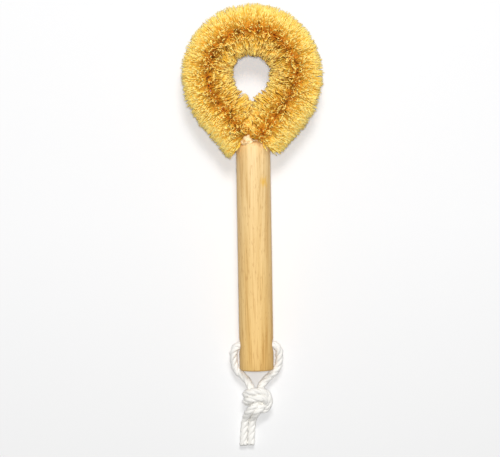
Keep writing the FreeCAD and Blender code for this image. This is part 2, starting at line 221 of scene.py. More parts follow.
def rest_matrix():
    """Lays the brush on the table, on its first bundles and the lower edge of the butt."""
    neck = core_at(FIRST_STATION)[1]
    tilt = math.atan2(FIBRE_LENGTH - HANDLE_RADIUS, HANDLE_LENGTH - BUTT_EDGE + neck)
    top = (LOOP_CENTRE + LOOP_RADIUS + FIBRE_LENGTH) * math.cos(tilt)
    butt = -HANDLE_LENGTH * math.cos(tilt) - (HANDLE_RADIUS - BUTT_EDGE) * math.sin(tilt)
    lift = FIBRE_LENGTH * math.cos(tilt) - neck * math.sin(tilt)
    shift = Matrix.Translation((0, -(top + butt) / 2, lift))
    return shift @ Matrix.Rotation(tilt, 4, "X"), tilt


REST, TILT = rest_matrix()
REST_TURN = np.array(REST.to_3x3())
REST_SHIFT = np.array(REST.translation)


def on_table(points):
    """Points of the brush's own frame in the frame of the table."""
    return points @ REST_TURN.T + REST_SHIFT


HOLE = on_table(np.array([0.0, CORD_HOLE_Y, 0.0]))

# Meshes


def mesh_object(name, points, faces):
    """A smooth object from points in millimetres on the table."""
    mesh = bpy.data.meshes.new(name)
    mesh.from_pydata((np.asarray(points) * MM).tolist(), [], faces)
    mesh.polygons.foreach_set("use_smooth", [True] * len(mesh.polygons))
    obj = bpy.data.objects.new(name, mesh)
    bpy.context.scene.collection.objects.link(obj)
    return obj


def evaluated_copy(obj, name):
    """A new mesh of an object with its modifiers applied; the old object goes."""
    graph = bpy.context.evaluated_depsgraph_get()
    mesh = bpy.data.meshes.new_from_object(obj.evaluated_get(graph))
    mesh.name = name
    bpy.data.objects.remove(obj)
    made = bpy.data.objects.new(name, mesh)
    bpy.context.scene.collection.objects.link(made)
    return made


def lathe(profile, sides):
    """Points and faces of a closed profile of (along, radius) turned about the Y axis."""
    points, faces, rings = [], [], []
    for along, radius in profile:
        if radius == 0:
            rings.append([len(points)] * sides)
            points.append((0.0, along, 0.0))
            continue
        rings.append(list(range(len(points), len(points) + sides)))
        for side in range(sides):
            angle = 2 * math.pi * side / sides
            points.append((radius * math.sin(angle), along, radius * math.cos(angle)))
    for near, far in zip(rings, rings[1:]):
        for side in range(sides):
            nxt = (side + 1) % sides
            face = [near[side], near[nxt], far[nxt], far[side]]
            faces.append(list(dict.fromkeys(face)))
    return np.array(points), faces


def rounded(start, end, corner):
    """Points from start to end that swell from the straight bevel towards the corner."""
    start, end, corner = np.array(start), np.array(end), np.array(corner)
    made = []
    for step in range(EDGE_STEPS + 1):
        share = step / EDGE_STEPS
        angle = share * math.pi / 2
        arc = corner + (start - corner) * (1 - math.sin(angle)) + (end - corner) * (1 - math.cos(angle))
        flat = start + (end - start) * share
        made.append(tuple(flat + (arc - flat) * EDGE_BULGE))
    return made


# Materials


def new_material(name):
    material = bpy.data.materials.new(name)
    material.use_nodes = True
    return material, material.node_tree, material.node_tree.nodes["Principled BSDF"]


def add(tree, kind, inputs=None, **settings):
    """A node with its settings, and its inputs from sockets or numbers."""
    node = tree.nodes.new(kind)
    for key, value in settings.items():
        setattr(node, key, value)
    for key, value in (inputs or {}).items():
        if isinstance(value, bpy.types.NodeSocket):
            tree.links.new(value, node.inputs[key])
        else:
            node.inputs[key].default_value = value
    return node


def ramp(tree, factor, stops):
    """A colour ramp with (place, colour) stops."""
    node = add(tree, "ShaderNodeValToRGB", {"Fac": factor})
    elements = node.color_ramp.elements
    while len(elements) < len(stops):
        elements.new(0.5)
    for element, (place, colour) in zip(elements, stops):
        element.position = place
        element.color = (*colour, 1.0)
    return node.outputs["Color"]


def grey(value):
    return (value, value, value)


def mix(tree, kind, factor, a, b):
    """Mixed colours."""
    node = add(tree, "ShaderNodeMix", data_type="RGBA", blend_type=kind)
    for index, value in ((0, factor), (6, a), (7, b)):
        if isinstance(value, bpy.types.NodeSocket):
            tree.links.new(value, node.inputs[index])
        else:
            node.inputs[index].default_value = value if index == 0 else (*value, 1.0)
    return node.outputs[2]


def math_node(tree, operation, *values):
    """The result of a sum, product or sine of sockets and numbers."""
    return add(tree, "ShaderNodeMath", dict(enumerate(values)), operation=operation).outputs["Value"]


def scaled_place(tree, scale, turn=(0, 0, 0)):
    """Places on the piece, turned and stretched."""
    place = add(tree, "ShaderNodeTexCoord").outputs["Object"]
    mapping = add(tree, "ShaderNodeMapping", {"Vector": place, "Rotation": turn, "Scale": scale})
    return mapping.outputs["Vector"]


def cloud(tree, scale, detail, turn=(0, 0, 0)):
    """A soft random pattern, with so many periods to the metre along each axis."""
    place = scaled_place(tree, scale, turn)
    pattern = add(tree, "ShaderNodeTexNoise", {"Vector": place, "Scale": 1.0, "Detail": detail})
    return pattern.outputs["Fac"]


def place_along(tree, low, high):
    """How far along the table's Y axis a place lies, from 0 at low to 1 at high."""
    axes = add(tree, "ShaderNodeSeparateXYZ", {"Vector": scaled_place(tree, (1, 1, 1))})
    ends = {"Value": axes.outputs["Y"], "From Min": low, "From Max": high}
    return add(tree, "ShaderNodeMapRange", ends).outputs["Result"]


def uneven_roughness(tree, shader, pattern, low, high):
    """Roughness that follows a pattern."""
    ends = {"Value": pattern, "To Min": low, "To Max": high}
    rough = add(tree, "ShaderNodeMapRange", ends)
    tree.links.new(rough.outputs["Result"], shader.inputs["Roughness"])


def fine_relief(tree, shader, height, strength, distance):
    """Relief too fine for the mesh."""
    bump = add(tree, "ShaderNodeBump", {"Height": height, "Strength": strength, "Distance": distance})
    tree.links.new(bump.outputs["Normal"], shader.inputs["Normal"])


def fibre_material():
    """Golden plant fibre: roots darkened red-brown as painted crease shade, pale tips, own tone per fibre.
    """
    material, tree, shader = new_material("plant_fibre")
    facts = add(tree, "ShaderNodeAttribute", attribute_name="fibre").outputs["Vector"]
    split = add(tree, "ShaderNodeSeparateXYZ", {"Vector": facts})
    along, tone, hue = split.outputs["X"], split.outputs["Y"], split.outputs["Z"]
    # Painted shade: the roots darken to red-brown for the shade in the crease where fibres leave the core
    body = ramp(tree, along, [
        (0.0, (0.66, 0.24, 0.03)),
        (0.08, (1.0, 0.58, 0.07)),
        (0.25, (1.0, 0.67, 0.085)),
        (0.8, (1.0, 0.71, 0.105)),
        (1.0, (1.0, 0.83, 0.27)),
    ])
    # Painted shade: the low tones, given mostly to eye-side and short fibres, are dark brown
    shade = ramp(tree, tone, [
        (0.0, (0.25, 0.13, 0.07)),
        (0.08, (0.80, 0.68, 0.56)),
        (0.14, grey(1.0)),
    ])
    warm = ramp(tree, hue, [
        (0.0, (1.0, 0.80, 0.6)),
        (0.25, (1.0, 0.94, 0.85)),
        (0.6, grey(1.0)),
        (1.0, (1.0, 1.06, 1.3)),
    ])
    grain = cloud(tree, scale=(900, 900, 900), detail=3.0)
    speckle = ramp(tree, grain, [(0.3, (0.98, 0.94, 0.9)), (0.55, grey(1.0))])
    colour = mix(tree, "MULTIPLY", 1.0, body, shade)
    colour = mix(tree, "MULTIPLY", 1.0, colour, warm)
    colour = mix(tree, "MULTIPLY", 1.0, colour, speckle)
    tree.links.new(colour, shader.inputs["Base Color"])
    uneven_roughness(tree, shader, grain, low=0.42, high=0.68)
    shader.inputs["Specular IOR Level"].default_value = 0.25
    return material


def stain_share(tree, ragged):
    """How much of a small amber stain below the mouth lies at each place."""
    middle = on_table(np.array((5.9, -24.0, 8.0))) * MM
    stretch = (200, 120, 80)
    place = add(tree, "ShaderNodeTexCoord").outputs["Object"]
    away = add(tree, "ShaderNodeVectorMath", {0: place, 1: tuple(middle)}, operation="SUBTRACT")
    flat = add(tree, "ShaderNodeVectorMath", {0: away.outputs["Vector"], 1: stretch}, operation="MULTIPLY")
    reach = add(tree, "ShaderNodeVectorMath", {0: flat.outputs["Vector"]}, operation="LENGTH")
    edge = math_node(tree, "ADD", reach.outputs["Value"], ragged)
    return ramp(tree, edge, [(0.55, grey(1.0)), (1.0, grey(0.0))])


def wood_material():
    """Bare sanded wood with straight fine grain, soft bands and short flecks."""
    material, tree, shader = new_material("handle_wood")
    turn = (-TILT, 0, 0)
    bands = cloud(tree, scale=(230, 9, 230), detail=4.0, turn=turn)
    streaks = cloud(tree, scale=(1150, 18, 1150), detail=5.0, turn=turn)
    flecks = cloud(tree, scale=(1500, 240, 1500), detail=2.0, turn=turn)
    from_butt = place_along(tree, low=-0.108, high=0.027)
    colour = ramp(tree, from_butt, [
        (0.0, (0.745, 0.472, 0.160)),
        (0.45, (0.785, 0.525, 0.210)),
        (1.0, (0.825, 0.588, 0.282)),
    ])
    band = ramp(tree, bands, [
        (0.34, (0.84, 0.75, 0.60)),
        (0.5, grey(1.0)),
        (0.66, (1.06, 1.08, 1.14)),
    ])
    streak = ramp(tree, streaks, [
        (0.36, (0.77, 0.67, 0.54)),
        (0.48, grey(0.99)),
        (0.64, (1.05, 1.08, 1.14)),
    ])
    fleck = ramp(tree, flecks, [(0.30, (0.66, 0.50, 0.36)), (0.41, grey(1.0))])
    for share, layer in ((0.9, band), (0.7, streak), (0.45, fleck)):
        colour = mix(tree, "MULTIPLY", share, colour, layer)
    amber = (0.80, 0.47, 0.09)
    colour = mix(tree, "MIX", stain_share(tree, flecks), colour, amber)
    tree.links.new(colour, shader.inputs["Base Color"])
    uneven_roughness(tree, shader, streaks, low=0.58, high=0.76)
    fine_relief(tree, shader, streaks, strength=0.12, distance=0.0002)
    shader.inputs["Specular IOR Level"].default_value = 0.35
    return material


def wire_material():
    """Galvanised wire with a dull mottled zinc skin."""
    material, tree, shader = new_material("core_wire")
    shader.inputs["Metallic"].default_value = 1.0
    spots = cloud(tree, scale=(1500, 1500, 1500), detail=3.0)
    colour = ramp(tree, spots, [(0.3, (0.42, 0.42, 0.43)), (0.7, (0.66, 0.67, 0.68))])
    tree.links.new(colour, shader.inputs["Base Color"])
    uneven_roughness(tree, shader, spots, low=0.3, high=0.55)
    return material


def glue_material():
    """Cured cream glue, cloudy, with crumbs of fibre in it."""
    material, tree, shader = new_material("glue")
    shader.inputs["Roughness"].default_value = 0.45
    milk = cloud(tree, scale=(420, 420, 420), detail=4.0)
    crumbs = cloud(tree, scale=(1500, 1500, 1500), detail=2.0)
    cream = ramp(tree, milk, [
        (0.34, (0.60, 0.34, 0.12)),
        (0.46, (0.84, 0.62, 0.32)),
        (0.62, (0.92, 0.76, 0.48)),
    ])
    speck = ramp(tree, crumbs, [(0.3, (0.7, 0.5, 0.3)), (0.42, grey(1.0))])
    tree.links.new(mix(tree, "MULTIPLY", 0.7, cream, speck), shader.inputs["Base Color"])
    fine_relief(tree, shader, milk, strength=0.4, distance=0.0006)
    return material


def cord_material():
    """Undyed laid cotton: fine yarns wound along each strand, with soft shade in the lay."""
    material, tree, shader = new_material("cotton_cord")
    shader.inputs["Roughness"].default_value = 0.85
    shader.inputs["Sheen Weight"].default_value = 0.25
    lay = add(tree, "ShaderNodeUVMap", uv_map="lay").outputs["UV"]
    split = add(tree, "ShaderNodeSeparateXYZ", {"Vector": lay})
    twist = math_node(tree, "ADD", split.outputs["X"], split.outputs["Y"])
    yarns = math_node(tree, "SINE", math_node(tree, "MULTIPLY", twist, 2 * math.pi * YARNS))
    fuzz = cloud(tree, scale=(2600, 2600, 2600), detail=3.0)
    yarn = add(tree, "ShaderNodeMapRange", {"Value": yarns, "From Min": -1.0}).outputs["Result"]
    cotton = ramp(tree, yarn, [
        (0.0, (0.85, 0.835, 0.795)),
        (0.45, (0.88, 0.865, 0.83)),
        (1.0, (0.885, 0.875, 0.845)),
    ])
    shade = ramp(tree, fuzz, [(0.3, (0.96, 0.95, 0.93)), (0.7, grey(1.0))])
    tree.links.new(mix(tree, "MULTIPLY", 1.0, cotton, shade), shader.inputs["Base Color"])
    height = math_node(tree, "ADD", yarns, fuzz)
    fine_relief(tree, shader, height, strength=0.3, distance=0.00015)
    return material


MATERIALS = {
    "plant_fibre": fibre_material(),
    "handle_wood": wood_material(),
    "core_wire": wire_material(),
    "glue": glue_material(),
    "cotton_cord": cord_material(),
}


def place_piece(obj, body, slot, nodes):
    """Gives a piece its material, its body and the nodes that it stands for."""
    obj.data.materials.clear()
    obj.data.materials.append(MATERIALS[slot])
    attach(obj, body)
    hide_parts(*nodes)


# Fibres


def wander(station, size, rates, phase):
    """An uneven wave along the core."""
    return size * np.sin(rates[0] * station) * np.sin(rates[1] * station + phase)


def fibre_angles(station, rng):
    """Directions of fibres round the core, counted from straight out of the loop."""
    many = len(station)
    # The wires' half turn carries the fibres round, and they spread from it
    half = rng.integers(0, 2, many) * math.pi
    wound = math.pi * (station - FIRST_STATION) / SPACING + math.pi / 2 + half
    angle = wound + rng.normal(0, ANGLE_SPREAD, many)
    # They part a little above and below the core
    crease = wander(station, CREASE_SIZE, CREASE_RATES, CREASE_PHASE)
    from_crease = (angle - crease) % math.pi - math.pi / 2
    gap = PARTING + wander(station, PARTING_SIZE, PARTING_RATES, PARTING_PHASE)
    return angle + np.sign(from_crease) * gap * np.exp(-np.abs(from_crease) / PARTING_REACH)


def fibre_lengths(point, ray, outer, inner, rng):
    """Lengths of fibres, and which of them are short."""
    many = len(point)
    right = point[:, 0] > 0
    length = FIBRE_LENGTH * rng.uniform(*LENGTH_RANGE, many)
    # The eye is narrower at its right and its foot
    length = length * np.where(inner & right, RIGHT_INNER_LENGTH, 1.0)
    # The outer fibres of the legs are longer, most of all on the right
    leg = np.exp(-(((point[:, 1] - LEG_MIDDLE) / LEG_SPREAD) ** 2)) * outer
    length = length * (1 + leg * np.where(right, RIGHT_LEG_EXTRA, LEFT_LEG_EXTRA))
    tip = point + ray * length[:, None]
    foot = np.exp(-(((tip[:, 1] - EYE_FOOT_Y) / EYE_FOOT_SPREAD) ** 2)) * inner
    foot = foot * (np.abs(tip[:, 0]) < EYE_FOOT_HALF_WIDTH)
    length = length * (1 + EYE_FOOT_EXTRA * foot)
    short = rng.random(many) < SHORT_SHARE
    length = np.where(short, length * rng.uniform(*SHORT_RANGE, many), length)
    return length, short


def fibre_lines(index, rng):
    """One bundle's fibres in the brush's own frame: their centre lines, how far each points out
    of the loop, and which are short."""
    many = FIBRES_PER_BUNDLE * TRIES_PER_FIBRE
    station = FIRST_STATION + (index + rng.uniform(-0.5, 0.5, many)) * SPACING
    core = np.array([core_at(s) for s in station])
    level = np.zeros(many)
    point = np.column_stack([core[:, 0], core[:, 1], level])
    travel = np.column_stack([core[:, 2], core[:, 3], level])
    outward = np.column_stack([core[:, 3], -core[:, 2], level])
    up = np.array([0.0, 0.0, 1.0])
    angle = fibre_angles(station, rng)
    ray = outward * np.cos(angle)[:, None] + up * np.sin(angle)[:, None]
    beside = -outward * np.sin(angle)[:, None] + up * np.cos(angle)[:, None]
    outer = np.cos(angle) > SIDEWAYS
    inner = np.cos(angle) < -SIDEWAYS
    length, short = fibre_lengths(point, ray, outer, inner, rng)
    # Those that point outward are combed straighter
    unruly = np.where(outer, OUTER_UNRULY, 1.0)
    lean = rng.normal(0, LEAN_SPREAD, many) * unruly
    # Those at the left of the neck lean back along the handle
    from_neck = np.minimum(station - BEARING_START, CORE_LENGTH - BEARING_START - station)
    droop = np.where(core[:, 0] > 0, 0.0, LEFT_DROOP) * np.exp(-from_neck / DROOP_REACH)
    sweep = rng.normal(0, TIP_SPREAD, many) * unruly
    swing = rng.normal(0, TIP_SPREAD, many) * unruly
    wave = rng.uniform(*CRIMP_RANGE, many) * unruly
    pitch = rng.uniform(*CRIMP_PITCH_RANGE, many)
    phase = rng.uniform(0, 2 * math.pi, (2, many))
    lines = []
    for share in RING_SHARES:
        reach = ROOT + (length - ROOT) * share
        crimp = np.minimum(1.0, share * CRIMP_GROWTH) * wave
        turn = 2 * math.pi * reach / pitch
        along = lean * reach + sweep * share**2 + crimp * np.sin(turn + phase[0])
        side = swing * share**2 + crimp * np.sin(turn + phase[1])
        line = point + ray * reach[:, None] + travel * along[:, None] + beside * side[:, None]
        line[:, 1] -= droop * share**DROOP_POWER
        lines.append(line)
    lines = np.stack(lines, axis=1)
    clear = clear_of_neighbours(lines, core[:, 0], rng)
    # Fewer point into the loop, where there is less room
    wanted = rng.random(many) < np.where(outer, 1.0, INNER_SHARE)
    keep = np.flatnonzero(clear & wanted)[:FIBRES_PER_BUNDLE]
    lines = lines[keep]
    gather_wisps(lines, angle[keep], station[keep], rng)
    return lines, np.cos(angle[keep]), short[keep]


def gather_wisps(lines, angle, station, rng):
    """Draws neighbouring fibres together towards their tips."""
    sector = np.floor(angle % (2 * math.pi) / WISP_ANGLE)
    order = np.lexsort((station, sector))
    whole = len(order) // FIBRES_PER_WISP * FIBRES_PER_WISP
    wisps = order[:whole].reshape(-1, FIBRES_PER_WISP)
    middle = lines[wisps].mean(axis=1, keepdims=True)
    loose = np.where(np.cos(angle[wisps]).mean(axis=1) > SIDEWAYS, OUTER_PULL, 1.0)
    pull = loose * rng.uniform(*PULL_RANGE, len(wisps))
    pull = pull[:, None, None, None] * RING_SHARES[None, None, :, None]
    lines[wisps] += (middle - lines[wisps]) * pull


def clear_of_neighbours(lines, core_x, rng):
    """Bends fibres at the middle, the table and the wood, and tells which ones miss the handle
    and the drop."""
    side = np.where(core_x > 0, 1.0, -1.0)[:, None]
    # The right leg's fibres lie over the left leg's
    right = rng.uniform(*RIGHT_OVERLAP, side.shape)
    left = rng.uniform(*LEFT_OVERLAP, side.shape)
    middle = np.where(side > 0, right, left)
    low = lines[:, :, 1] < LOOP_CENTRE - CROSSING_DEPTH
    over = np.maximum(middle - lines[:, :, 0] * side, 0) * low
    lines[:, :, 0] += side * over
    lines[:, :, 2] += np.sign(lines[:, -1:, 2]) * CROSSING_LIFT * over
    height = on_table(lines.reshape(-1, 3))[:, 2].reshape(lines.shape[:2])
    lines[:, :, 2] += np.maximum(TABLE_GAP - height, 0)
    x, y, z = lines[:, :, 0], lines[:, :, 1], lines[:, :, 2]
    behind_mouth = y < MOUTH_GAP
    from_axis = np.hypot(x, z)
    skin = HANDLE_RADIUS + WOOD_GAP
    pushed = behind_mouth & (from_axis > HANDLE_RADIUS - PUSH_DEPTH) & (from_axis < skin)
    outward = np.where(pushed, skin / from_axis, 1.0)
    lines[:, :, 0] *= outward
    lines[:, :, 2] *= outward
    in_handle = behind_mouth & (np.hypot(x, z) < HANDLE_RADIUS + LEAST_WOOD_GAP)
    in_drop = np.linalg.norm(lines - np.array(DROP_CENTRE), axis=2) < DROP_RADIUS + DROP_GAP
    from_drop = np.hypot(x - DROP_CENTRE[0], y - DROP_CENTRE[1])
    over_drop = (from_drop < DROP_RADIUS - DROP_OVERHANG) & (z > DROP_CENTRE[2])
    return ~(in_handle | in_drop | over_drop).any(axis=1)


def strand_points(lines, outward, rng):
    """Corners of tapered three-sided strands round their centre lines, on the table."""
    total = len(lines)
    tangent = np.gradient(lines, axis=1)
    tangent /= np.linalg.norm(tangent, axis=2, keepdims=True)
    steep = np.abs(tangent[:, :1, 2:3]) > STEEP
    helper = np.where(steep, np.array([1.0, 0, 0]), np.array([0, 0, 1.0]))
    across = np.cross(tangent, helper)
    across /= np.linalg.norm(across, axis=2, keepdims=True)
    normal = np.cross(tangent, across)
    finer = np.where(outward > SIDEWAYS, OUTER_THICKNESS, 1.0)
    thickness = rng.uniform(*THICKNESS_RANGE, total) * finer
    girth = thickness[:, None] * (1.0 - TAPER * RING_SHARES**2)[None, :]
    # Each strand lies with a flat side up, more or less
    roll = rng.normal(-math.pi / 6, ROLL_SPREAD, total)
    points = []
    for corner in range(FIBRE_SIDES):
        turn = roll + 2 * math.pi * corner / FIBRE_SIDES
        offset = across * np.cos(turn)[:, None, None] + normal * np.sin(turn)[:, None, None]
        points.append(lines + offset * girth[:, :, None])
    return on_table(np.stack(points, axis=2).reshape(-1, 3))


def strand_faces(total):
    """Faces of a bundle's strands, and the place of each corner on a flat map of the bundle."""
    faces, columns, rows = [], [], []
    step = (1 - 2 * COLUMN_MARGIN) / total / FIBRE_SIDES
    for fibre in range(total):
        first = fibre * FIBRE_RINGS * FIBRE_SIDES
        left = (fibre + COLUMN_MARGIN) / total
        for ring in range(FIBRE_RINGS - 1):
            near = first + ring * FIBRE_SIDES
            far = near + FIBRE_SIDES
            low = (ring + ROW_MARGIN) / FIBRE_RINGS
            high = (ring + 1 + ROW_MARGIN) / FIBRE_RINGS
            for side in range(FIBRE_SIDES):
                nxt = (side + 1) % FIBRE_SIDES
                faces.append((near + side, near + nxt, far + nxt, far + side))
                here = left + side * step
                columns += [here, here + step, here + step, here]
                rows += [low, low, high, high]
        tip = first + (FIBRE_RINGS - 1) * FIBRE_SIDES
        faces.append((tip, tip + 1, tip + 2))
        columns += [left, left + step, left + step]
        rows += [high, high, high + TIP_ROW]
    return faces, np.column_stack([columns, rows])


def make_bundle(index):
    """One bundle of fibres, which hold their place along the fibre, their tone and their hue."""
    rng = np.random.default_rng(SEED + index)
    lines, outward, short = fibre_lines(index, rng)
    points = strand_points(lines, outward, rng)
    total = len(lines)
    faces, flat_map = strand_faces(total)
    obj = mesh_object(f"fibres_{index + 1:02d}", points, faces)
    # Painted shade: fibres towards the eye are darker and more brown, and so are the short ones
    eye_side_shade = np.where(outward < EYE_SIDE, INNER_PAINTED_SHADE, 1.0)
    deep_shade = np.where(short & (outward < SIDEWAYS), SHORT_PAINTED_SHADE, 1.0)
    pale = np.where(outward > SIDEWAYS, OUTER_TONE, 0.0)
    facts = np.zeros((total, FIBRE_RINGS, FIBRE_SIDES, 3))
    facts[..., 0] = RING_SHARES[None, :, None]
    facts[..., 1] = (pale + rng.random(total) * eye_side_shade * deep_shade)[:, None, None]
    facts[..., 2] = (rng.random(total) * eye_side_shade)[:, None, None]
    held = obj.data.attributes.new("fibre", "FLOAT_VECTOR", "POINT")
    held.data.foreach_set("vector", facts.ravel())
    obj.data.uv_layers.new(name="OFBake").data.foreach_set("uv", flat_map.ravel())
    place_piece(obj, "brush", "plant_fibre", [f"bristle_bundle_{index + 1:02d}"])


for index in range(BUNDLES):
    make_bundle(index)

# Handle


def handle_profile():
    """The socket, the bevelled mouth, the straight side and the eased butt."""
    butt = -HANDLE_LENGTH
    profile = [
        (-SOCKET_DEPTH, 0),
        (-SOCKET_DEPTH, SOCKET_RADIUS),
        (-SOCKET_EDGE, SOCKET_RADIUS),
        (0, SOCKET_RADIUS + SOCKET_EDGE),
    ]
    mouth = (0, HANDLE_RADIUS - MOUTH_EDGE)
    profile += rounded(mouth, (-MOUTH_EDGE, HANDLE_RADIUS), (0, HANDLE_RADIUS))
    straight = HANDLE_LENGTH - MOUTH_EDGE - BUTT_ROUND
    for step in range(1, HANDLE_RUNS):
        profile.append((-MOUTH_EDGE - straight * step / HANDLE_RUNS, HANDLE_RADIUS))
    side = (butt + BUTT_ROUND, HANDLE_RADIUS)
    profile += rounded(side, (butt, HANDLE_RADIUS - BUTT_ROUND), (butt, HANDLE_RADIUS))
    return profile + [(butt, BUTT_RING), (butt, 0)]


def drill_profile():
    """The cross hole with a flared rim at both ends."""
    reach = HANDLE_RADIUS + DRILL_REACH
    rim = CORD_HOLE_RADIUS + CORD_HOLE_EDGE
    inner = HANDLE_RADIUS - 2 * CORD_HOLE_EDGE
    return [
        (-reach, 0),
        (-reach, rim + DRILL_FLARE),
        (-HANDLE_RADIUS, rim),
        (-inner, CORD_HOLE_RADIUS),
        (inner, CORD_HOLE_RADIUS),
        (HANDLE_RADIUS, rim),
        (reach, rim + DRILL_FLARE),
        (reach, 0),
    ]


def make_handle():
    """The turned dowel with eased ends, its socket and its cross hole."""
    points, faces = lathe(handle_profile(), HANDLE_SIDES)
    body = mesh_object("handle_blank", on_table(points), faces)
    points, faces = lathe(drill_profile(), DRILL_SIDES)
    points = np.column_stack([points[:, 1], CORD_HOLE_Y - points[:, 0], points[:, 2]])
    cutter = mesh_object("drill", on_table(points), faces)
    for obj in (body, cutter):
        work = bmesh.new()
        work.from_mesh(obj.data)
        bmesh.ops.recalc_face_normals(work, faces=work.faces)
        work.to_mesh(obj.data)
        work.free()
    cut = body.modifiers.new("cross_hole", "BOOLEAN")
    cut.operation = "DIFFERENCE"
    cut.solver = "EXACT"
    cut.object = cutter
    handle = evaluated_copy(body, "handle_turned")
    bpy.data.objects.remove(cutter)
    handle.data.shade_smooth()
    handle.data.set_sharp_from_angle(angle=math.radians(SHARP_DEGREES))
    place_piece(handle, "brush", "handle_wood", ["handle"])


make_handle()

# Glue

# Centre, stretch and radius of each lump of the drop
LUMPS = [
    ((-3.9, -0.6, 7.4), (1.0, 0.8, 0.7), 2.7),
    ((-2.4, 0.9, 6.4), (1.0, 0.8, 0.9), 2.2),
    ((-5.6, -0.4, 6.9), (0.9, 0.9, 0.8), 1.8),
    ((-4.6, 1.7, 7.2), (0.8, 1.0, 0.8), 1.7),
    ((-2.7, 2.5, 7.4), (0.8, 1.0, 0.8), 1.4),
    ((-1.2, -0.2, 7.4), (1.1, 0.8, 0.6), 1.4),
]
LUMP_SPLITS = 4
CAP_Y = 0.45
CAP_SHAPE = {"segments": 48, "radius1": 5.8, "radius2": 5.5, "depth": 0.8}
MELT_SIZE = 0.28
SOFTEN_STEPS = 2
# Rate and size of the coarse and the fine unevenness
SWELLS = ((0.6, 0.55), (1.7, 0.28))


def make_glue():
    """The cap on the mouth and the drop that ran over the edge, melted together."""
    work = bmesh.new()
    for centre, stretch, radius in LUMPS:
        size = Matrix.Diagonal((*(s * radius for s in stretch), 1.0))
        place = Matrix.Translation(centre) @ size
        bmesh.ops.create_icosphere(work, subdivisions=LUMP_SPLITS, radius=1.0, matrix=place)
    turn = Matrix.Rotation(math.radians(90), 4, "X")
    cap = Matrix.Translation((0, CAP_Y, 0)) @ turn
    bmesh.ops.create_cone(work, cap_ends=True, matrix=cap, **CAP_SHAPE)
    mesh = bpy.data.meshes.new("glue_lumps")
    work.to_mesh(mesh)
    work.free()
    mesh.transform(Matrix.Scale(MM, 4) @ REST)
    lump = bpy.data.objects.new("glue_lumps", mesh)
    bpy.context.scene.collection.objects.link(lump)
    melt = lump.modifiers.new("melt", "REMESH")
    melt.mode = "VOXEL"
    melt.voxel_size = MELT_SIZE * MM
    soften = lump.modifiers.new("soften", "SMOOTH")
    soften.iterations = SOFTEN_STEPS
    glue = evaluated_copy(lump, "glue_dab")
    for vertex in glue.data.vertices:
        swell = sum(noise.noise(vertex.co / MM * rate) * size for rate, size in SWELLS)
        vertex.co += vertex.normal * swell * MM
    glue.data.shade_smooth()
    place_piece(glue, "brush", "glue", ["socket_glue"])


make_glue()

# Cord

# Routes over the table, measured from the middle of the cross hole
LEFT_LEG = [
    (0.0, 0.0, 0.0),
    (-5.0, 0.0, 0.0),
    (-10.0, 0.0, 0.0),
    (-12.4, -1.5, -0.3),
    (-13.6, -4.2, -1.2),
    (-13.7, -7.7, -2.6),
    (-13.2, -11.5, -4.2),
    (-11.8, -15.4, -4.7),
    (-8.4, -18.2, -4.2),
    (-5.8, -21.1, -3.9),
    (-4.3, -23.8, -3.4),
    (-3.4, -26.4, -2.6),
]
RIGHT_LEG = [
    (0.0, 0.0, 0.0),
    (5.0, 0.0, 0.0),
    (10.0, 0.0, 0.0),
    (12.3, -1.3, -0.3),
    (13.4, -3.7, -1.2),
    (13.6, -7.1, -2.6),
    (13.3, -11.2, -4.2),
    (11.8, -15.3, -4.5),
    (8.2, -18.2, -3.7),
    (5.3, -20.9, -3.4),
    (3.2, -23.4, -3.1),
    (1.8, -26.2, -2.6),
]
LEFT_TAIL = [
    (-6.9, -43.2, -6.9),
    (-7.9, -48.4, -7.9),
    (-8.4, -54.2, -8.0),
    (-8.5, -59.6, -8.0),
]
RIGHT_TAIL = [
    (-2.4, -43.0, -6.9),
    (-3.4, -48.0, -7.9),
    (-3.9, -53.8, -8.0),
    (-4.0, -59.4, -8.0),
]
# An overhand knot tied with both halves side by side, measured from the knot's middle
KNOT_CENTRE = (0.2, -32.9, -2.55)
LEFT_KNOT = [
    (-3.4, 2.6, -0.4),
    (-2.6, -2.4, -1.4),
    (0.6, -6.0, -1.4),
    (4.6, -5.6, -0.4),
    (6.9, -2.2, 0.8),
    (6.6, 2.6, 2.6),
    (3.6, 5.4, 4.8),
    (-1.0, 5.7, 5.6),
    (-5.0, 4.8, 4.4),
    (-7.2, 3.4, 0.6),
    (-5.8, 2.6, -3.8),
    (-1.6, 2.2, -5.8),
    (2.4, 1.0, -5.0),
    (2.6, -1.0, -0.6),
    (-0.6, -2.6, 3.4),
    (-3.9, -4.9, 4.0),
    (-5.9, -7.6, 0.6),
]
RIGHT_KNOT = [
    (1.3, 2.6, -0.4),
    (1.8, -1.4, -0.6),
    (4.2, -2.6, 0.6),
    (5.4, -0.6, 3.0),
    (3.8, 1.6, 5.0),
    (-0.4, 1.6, 5.7),
    (-4.8, 0.6, 4.4),
    (-7.0, -0.6, 0.6),
    (-5.6, -1.4, -3.8),
    (-1.6, -1.8, -5.6),
    (3.4, -2.2, -4.0),
    (4.0, -3.2, 0.4),
    (1.8, -4.4, 3.4),
    (-0.6, -6.4, 3.2),
    (-1.6, -8.6, 0.2),
]


def route_line(name, leg, knot, tail):
    """Points of the smooth line through one half's route, in millimetres on the table."""
    stops = [np.array(stop) for stop in leg]
    stops += [np.array(stop) + np.array(KNOT_CENTRE) for stop in knot]
    stops += [np.array(stop) for stop in tail]
    curve = bpy.data.curves.new(name, "CURVE")
    curve.dimensions = "3D"
    spline = curve.splines.new("NURBS")
    spline.points.add(len(stops) - 1)
    for place, stop in zip(spline.points, stops):
        place.co = (*((HOLE + stop) * MM), 1.0)
    spline.order_u = ROUTE_ORDER
    spline.use_endpoint_u = True
    spline.resolution_u = ROUTE_STEPS
    obj = bpy.data.objects.new(name, curve)
    bpy.context.scene.collection.objects.link(obj)
    graph = bpy.context.evaluated_depsgraph_get()
    mesh = bpy.data.meshes.new_from_object(obj.evaluated_get(graph))
    points = np.array([vertex.co for vertex in mesh.vertices]) / MM
    bpy.data.objects.remove(obj)
    bpy.data.meshes.remove(mesh)
    return points


